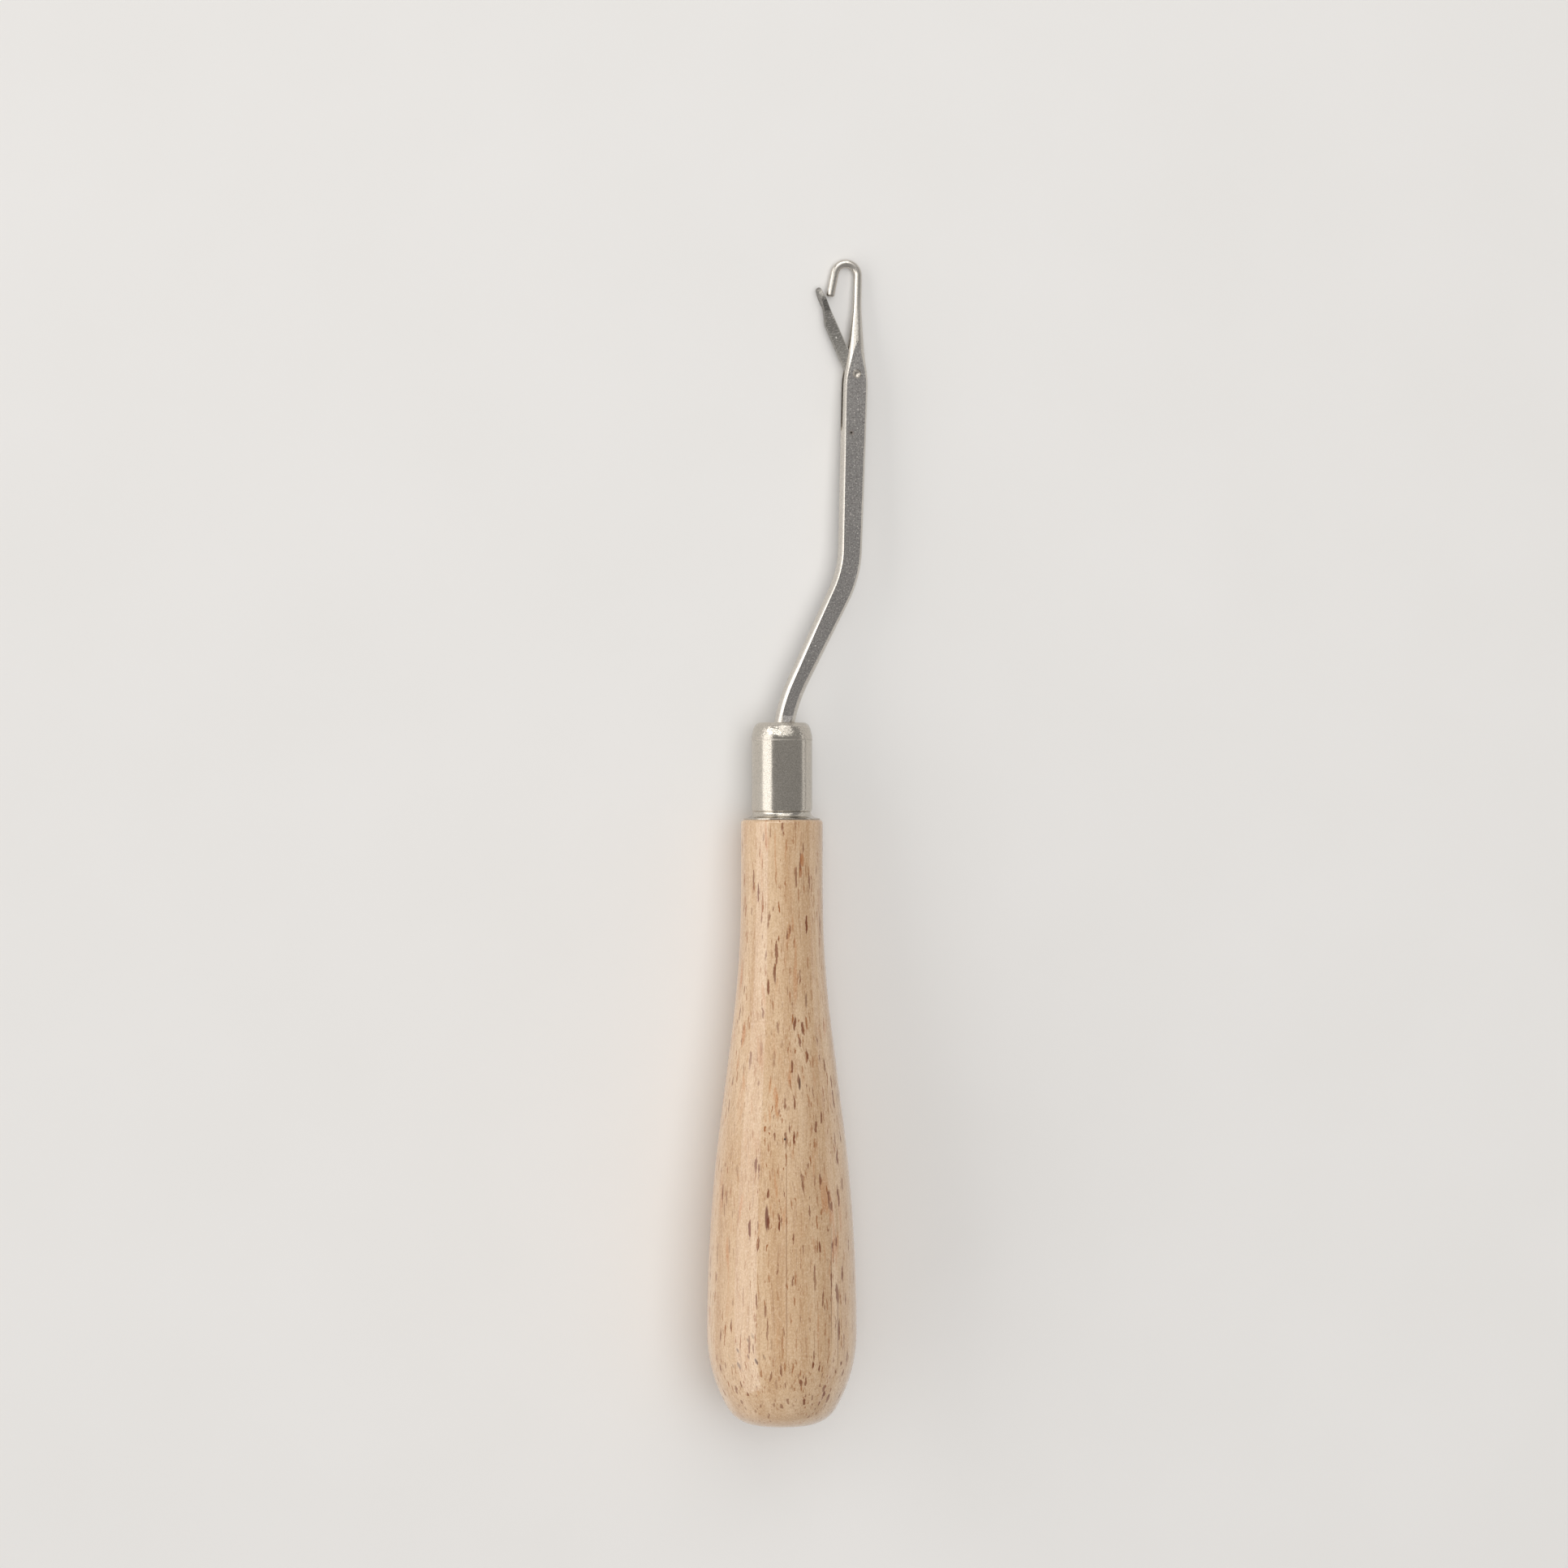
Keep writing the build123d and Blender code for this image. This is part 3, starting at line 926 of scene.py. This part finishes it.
def steel_stations():
    """Stations along the steel's centre line, from the tang's tip to the hook's point."""
    reach_low = lower_bend_radius * tan(diagonal_lean / 2)
    reach_high = upper_bend_radius * tan((diagonal_lean - upper_lean) / 2)
    tang_end = Vector((0.0, ferrule_top - tang_depth, 0.0))
    point_top = tang_end + heading(0) * tang_point
    bend_start = corner_low - heading(0) * reach_low
    diagonal_start = corner_low + heading(diagonal_lean) * reach_low
    diagonal_end = corner_high - heading(diagonal_lean) * reach_high
    upper_start = corner_high + heading(upper_lean) * reach_high
    low_centre = bend_start + rightward(0) * lower_bend_radius
    high_centre = diagonal_end - rightward(diagonal_lean) * upper_bend_radius
    shoulder = latch_pivot - heading(upper_lean) * cheek_shoulder_drop
    cheek_tip = shoulder + heading(upper_lean) * cheek_cone_length
    limb_start = cheek_tip + heading(upper_lean) * limb_taper_length
    limb_end = latch_pivot + heading(upper_lean) * limb_length
    bow_centre = limb_end - rightward(upper_lean) * hook_bow_radius
    point_lean = hook_point_lean - pi
    point_start = bow_centre + rightward(point_lean) * hook_bow_radius
    chamfer_start = point_start + heading(point_lean) * (hook_point_length - hook_point_chamfer)
    point_end = point_start + heading(point_lean) * hook_point_length
    shank = (
        straight(point_top, bend_start, 0, tang_radius, tang_radius)
        + bent(low_centre, lower_bend_radius, 0, diagonal_lean, tang_radius)
        + straight(diagonal_start, diagonal_end, diagonal_lean, tang_radius, shank_radius_at_bend)
        + bent(high_centre, upper_bend_radius, diagonal_lean, upper_lean, shank_radius_at_bend)
        + straight(upper_start, shoulder, upper_lean, shank_radius_at_bend, shank_radius_at_cheeks)
        + straight(shoulder, cheek_tip, upper_lean, shank_radius_at_cheeks, cheek_tip_radius)
        + straight(cheek_tip, limb_start, upper_lean, cheek_tip_radius, limb_radius)
        + straight(limb_start, limb_end, upper_lean, limb_radius, hook_wire_radius)
    )
    return (
        straight(tang_end, point_top, 0, tang_tip_radius, tang_radius)
        + softened(shank)
        + bent(bow_centre, hook_bow_radius, upper_lean, point_lean, hook_wire_radius)
        + straight(point_start, chamfer_start, point_lean, hook_wire_radius, hook_wire_radius)
        + [(chamfer_start, point_lean, hook_wire_radius)]
        + [(point_end, point_lean, hook_wire_radius - hook_point_chamfer)]
    )


def drawn_rod(stations):
    """Round rod drawn through its stations and closed at both ends."""
    form = bmesh.new()
    ring = bmesh.ops.create_circle(form, segments=rod_sides, radius=1.0)["verts"]
    edges = form.edges[:]
    last = Matrix()
    for place, lean, radius in stations:
        turned = Matrix((rightward(lean), Vector((0, 0, -1)), heading(lean))).transposed().to_4x4()
        station = Matrix.Translation(place) @ turned @ Matrix.Scale(radius, 4)
        if last != Matrix():
            drawn = bmesh.ops.extrude_edge_only(form, edges=edges)["geom"]
            ring = [part for part in drawn if isinstance(part, bmesh.types.BMVert)]
            edges = [part for part in drawn if isinstance(part, bmesh.types.BMEdge)]
        bmesh.ops.transform(form, matrix=station @ last.inverted(), verts=ring)
        last = station
    bmesh.ops.holes_fill(form, edges=form.edges, sides=rod_sides)
    bmesh.ops.recalc_face_normals(form, faces=form.faces)
    return form


def plate(corners, thickness):
    """Plate with corners in one plane and half its thickness on either side of it."""
    form = bmesh.new()
    face = form.faces.new([form.verts.new(corner) for corner in corners])
    face.normal_update()
    across = face.normal * thickness
    bmesh.ops.translate(form, vec=across / 2, verts=form.verts)
    drawn = bmesh.ops.extrude_face_region(form, geom=[face])["geom"]
    far = [part for part in drawn if isinstance(part, bmesh.types.BMVert)]
    bmesh.ops.translate(form, vec=-across, verts=far)
    bmesh.ops.recalc_face_normals(form, faces=form.faces)
    return form


def combined(form, operation, other):
    """A form cut or joined with another; both are used up."""
    blanks = []
    for shape in (form, other):
        mesh = bpy.data.meshes.new("blank")
        shape.to_mesh(mesh)
        shape.free()
        blanks.append(bpy.data.objects.new("blank", mesh))
        bpy.context.scene.collection.objects.link(blanks[-1])
    knife = blanks[0].modifiers.new("knife", "BOOLEAN")
    knife.operation = operation
    knife.object = blanks[1]
    knife.solver = "EXACT"
    result = bmesh.new()
    result.from_object(blanks[0], bpy.context.evaluated_depsgraph_get())
    for blank in blanks:
        bpy.data.meshes.remove(blank.data)
    return result


def spun(outline, axis, steps):
    """Form spun from its outline about an axis through zero, closed on itself."""
    form = bmesh.new()
    corners = [form.verts.new(corner) for corner in outline]
    edges = [form.edges.new(pair) for pair in zip(corners, corners[1:])]
    bmesh.ops.spin(
        form,
        geom=corners + edges,
        cent=(0, 0, 0),
        axis=axis,
        angle=2 * pi,
        steps=steps,
        use_merge=True,
    )
    bmesh.ops.remove_doubles(form, verts=form.verts, dist=weld_distance)
    bmesh.ops.recalc_face_normals(form, faces=form.faces)
    return form


def flats_slab():
    """Slab whose two faces press the shank flat, opening out round the tang."""
    fade_top = ferrule_top + flat_start_rise
    fade_bottom = fade_top - flat_fade_length
    bottom = ferrule_top - tang_depth - overrun
    top = latch_pivot.y + limb_length + 2 * hook_bow_radius
    wide = shank_radius_at_cheeks + overrun
    side = [
        (bottom, wide),
        (fade_bottom, wide),
        (fade_bottom, tang_radius + flat_fade_height),
        (fade_top, flat_half_low),
        (latch_pivot.y, flat_half_at_pivot),
        (latch_pivot.y + flat_apex_rise, flat_half_at_apex),
        (top, flat_half_at_apex),
    ]
    around = side + [(height, -half) for height, half in reversed(side)]
    return plate([(0.0, height, half) for height, half in around], 4 * latch_pivot.x)


def latch_spot(lean, across, along):
    """Place given across and along the latch when it leans that far to the left."""
    return latch_pivot + rightward(-lean) * across + heading(-lean) * along


def latch_slot():
    """Slot between the cheeks, open to the left, with room for the latch closed, open and between."""
    opened = pi - upper_lean - latch_open_clear_lean
    inner = bar_inner_edge + slot_edge_gap
    corners = [
        latch_spot(latch_closed_lean, inner, 0.0),
        latch_spot(latch_closed_lean, inner, latch_length),
        latch_spot(opened, -neck_outer_edge - slot_edge_gap, latch_length),
        latch_spot(opened, -neck_outer_edge - slot_edge_gap, neck_height),
        latch_spot(opened, -bar_waist_outer_edge - slot_edge_gap, bar_waist_height),
        latch_spot(opened, -bar_outer_edge - slot_edge_gap, 0.0),
    ]
    return plate(corners, 2 * slot_half_width)


def pin_hole(radius, half_length):
    """Round cutter about the latch's pivot."""
    form = bmesh.new()
    bmesh.ops.create_cone(
        form,
        cap_ends=True,
        segments=pin_hole_steps,
        radius1=radius,
        radius2=radius,
        depth=2 * half_length,
        matrix=Matrix.Translation(latch_pivot),
    )
    return form


def curve(centre, wide, tall, start, end, steps):
    """Points of a part of an ellipse, angles in degrees from +X."""
    turns = [radians(start + (end - start) * step / steps) for step in range(steps + 1)]
    return [(centre[0] + wide * cos(turn), centre[1] + tall * sin(turn)) for turn in turns]


def ferrule_outline():
    """Section of the ferrule's sheet, as radii and heights, round its whole edge."""
    crease = radians(shoulder_crease_angle)
    shoulder = (ferrule_radius - shoulder_width * cos(crease), ferrule_top - shoulder_drop)
    skirt_start = handle_length + groove_height + groove_width
    skirt_end = skirt_start + skirt_round_drop
    skirt_round_wide = ferrule_radius - groove_radius
    inside = ferrule_radius - ferrule_wall
    flare_wide = brim_radius - groove_radius
    flare_tall = groove_height - brim_edge
    flare_centre = (brim_radius, handle_length + groove_height)
    return (
        [(shank_hole_radius, ferrule_top)]
        + curve(shoulder, shoulder_width, shoulder_drop, 90, shoulder_crease_angle, shoulder_steps)
        + [(ferrule_radius, ferrule_top - shoulder_drop - stop) for stop in wall_stops]
        + curve((groove_radius, skirt_end), skirt_round_wide, skirt_round_drop, 0, -90, skirt_steps)
        + [(groove_radius, handle_length + groove_height)]
        + curve(flare_centre, flare_wide, flare_tall, 180, 270, flare_steps)[1:]
        + [
            (brim_radius, handle_length),
            (brim_radius - brim_sheet, handle_length),
            (inside, handle_length + groove_height - brim_sheet),
            (inside, ferrule_top - shoulder_drop),
            (inside - ferrule_wall, ferrule_top - ferrule_wall),
            (shank_hole_radius, ferrule_top - ferrule_wall),
        ]
    )


def rivet_outline():
    """Outline of the rivet from the middle of one end to the middle of the other."""
    top = flat_half_at_pivot - rivet_head_sink
    ball = (rivet_dish_radius**2 + rivet_dish_depth**2) / (2 * rivet_dish_depth)
    floor = top - rivet_rim_rise / 2 - rivet_dish_depth
    rim_wide = (rivet_radius - rivet_dish_radius) / 2
    rim_centre = (rivet_radius - rim_wide, top - rivet_rim_rise)
    dimple = curve((0, floor), rivet_dimple_radius, rivet_dimple_depth, -90, 0, rivet_dimple_steps)
    bowl_radii = [
        rivet_dimple_radius + (rivet_dish_radius - rivet_dimple_radius) * step / rivet_bowl_steps
        for step in range(1, rivet_bowl_steps)
    ]
    bowl = [(radius, floor + ball - sqrt(ball**2 - radius**2)) for radius in bowl_radii]
    rim = curve(rim_centre, rim_wide, rivet_rim_rise, 180, 0, rivet_rim_steps)
    end = [(radius, 0, height) for radius, height in dimple + bowl + rim]
    return end + [(radius, 0, -height) for radius, _, height in reversed(end)]


def spur_corners():
    """Corners of the two spurs pressed out of the tang."""
    bottom = ferrule_top - tang_depth + spur_rise
    wide = tang_radius + spur_reach
    top = bottom + spur_length
    return [Vector((0.0, bottom, 0.0)), Vector((wide, top, 0.0)), Vector((-wide, top, 0.0))]


def mark_flats(form):
    """Writes on every face of the steel whether it lies on a pressed flat."""
    form.normal_update()
    pressed = form.faces.layers.float.new("pressed")
    for face in form.faces:
        level = abs(face.normal.x) < flat_sideways_limit and abs(face.normal.z) > flat_upright_limit
        outside = abs(face.calc_center_median().z) > slot_half_width + flat_clear_of_slot
        face[pressed] = float(level and outside)


def off_axis(vert):
    """Distance of a corner from the handle's axis."""
    return Vector((vert.co.x, vert.co.z)).length


def dent_shoulder(form):
    """Makes the ferrule's shoulder faintly uneven."""
    low = ferrule_top - shoulder_drop * dented_share
    for vert in form.verts:
        if vert.co.y > low and off_axis(vert) > shank_hole_radius * dented_inner_share:
            share = min(1.0, (vert.co.y - low) / dent_fade)
            dent = noise.noise(vert.co * dent_fineness + dent_shift)
            vert.co += vert.normal * shoulder_dent * share * (dent - dent_middle)


def make_ferrule():
    """Ferrule spun from its section, with its shank hole set over and its shoulder faintly dented."""
    outline = [(radius, height, 0) for radius, height in ferrule_outline()]
    form = spun(outline + outline[:1], (0, 1, 0), ferrule_steps)
    for vert in form.verts:
        if off_axis(vert) < shank_hole_radius * hole_edge_share:
            vert.co.x += shank_hole_shift
    eased(form, ferrule_edge_ease, ferrule_ease_angle)
    dent_shoulder(form)
    piece_of(form, "ferrule_cup", polished_nickel(), "tool", "ferrule_nickel", "ferrule")


def make_steel():
    """Shank with its cheeks and hook, latch and rivet, each with softened edges."""
    shank = combined(drawn_rod(steel_stations()), "UNION", plate(spur_corners(), spur_thickness))
    shank = combined(shank, "INTERSECT", flats_slab())
    eased(shank, shank_edge_ease, shank_ease_angle, shank_ease_segments)
    shank = combined(shank, "DIFFERENCE", latch_slot())
    shank = combined(shank, "DIFFERENCE", pin_hole(eye_radius + slot_edge_gap, slot_half_width))
    shank = combined(shank, "DIFFERENCE", pin_hole(rivet_radius + rivet_hole_gap, flat_half_low + overrun))
    mark_flats(shank)
    piece_of(shank, "hook_and_shank", satin_steel(), "tool", "shank_steel", "hook_shank")
    latch = joined_copy("latch")
    eased(latch, latch_edge_ease, latch_ease_angle)
    piece_of(latch, "spoon_latch", milled_steel(), "latch_body", "latch_steel", "latch")
    rivet = spun(rivet_outline(), (0, 0, 1), rivet_steps)
    bmesh.ops.translate(rivet, vec=latch_pivot, verts=rivet.verts)
    piece_of(rivet, "rivet_pin", rubbed_rivet_steel(), "tool", "rivet_steel", "latch_rivet")


def dress_handle():
    """Varnished wood on the handle's own solid."""
    handle = frame["nodes"]["handle"]
    handle.data.materials.clear()
    handle.data.materials.append(varnished_wood())


def lay_table():
    """Pale table that carries the tool."""
    form = bmesh.new()
    bmesh.ops.create_grid(form, x_segments=1, y_segments=1, size=table_half_side)
    mesh = bpy.data.meshes.new("table_top")
    form.to_mesh(mesh)
    form.free()
    mesh.materials.append(plain_table())
    table = bpy.data.objects.new("table_top", mesh)
    bpy.context.scene.collection.objects.link(table)


def light_panel(name, place, target, wide, tall, radiance, colour, kind):
    """Soft rectangular light that faces a target; its kind is to light, to be mirrored in gloss, or both."""
    lamp = bpy.data.lights.new(name, "AREA")
    lamp.shape = "RECTANGLE"
    lamp.size = wide
    lamp.size_y = tall
    lamp.energy = radiance * pi * wide * tall
    lamp.color = colour
    panel = bpy.data.objects.new(name, lamp)
    panel.location = place
    panel.rotation_euler = (Vector(place) - Vector(target)).to_track_quat("Z", "Y").to_euler()
    panel.visible_camera = False
    panel.visible_glossy = kind != "lights"
    panel.visible_diffuse = kind != "mirrored"
    bpy.context.scene.collection.objects.link(panel)


def set_lights():
    """Broad window light from the latch's side, soft light from above and a dim room."""
    for lamp in lamps:
        light_panel(*lamp)
    world = bpy.data.worlds.new("room")
    bpy.context.scene.world = world
    world.use_nodes = True
    background = world.node_tree.nodes["Background"]
    background.inputs["Color"].default_value = room_colour
    background.inputs["Strength"].default_value = room_strength


def set_camera():
    """Camera square to the handle's axis, rolled to the latch's side."""
    turn = Matrix.Rotation(-table_tilt, 3, "X")
    back = turn @ Vector((-sin(view_roll), 0, cos(view_roll)))
    up = turn @ Vector((0, 1, 0))
    right = up.cross(back)
    lens = bpy.data.cameras.new("camera")
    lens.sensor_width = sensor_width
    lens.lens = sensor_width * view_distance / view_width
    lens.clip_start = nearest_seen
    lens.clip_end = farthest_seen
    camera = bpy.data.objects.new("camera", lens)
    place = lay_down @ view_centre + back * view_distance * millimetre
    camera.matrix_world = Matrix.Translation(place) @ Matrix((right, up, back)).transposed().to_4x4()
    bpy.context.scene.collection.objects.link(camera)
    bpy.context.scene.camera = camera
    bpy.context.scene.view_settings.view_transform = "Standard"


dress_handle()
make_ferrule()
make_steel()
lay_table()
set_lights()
set_camera()
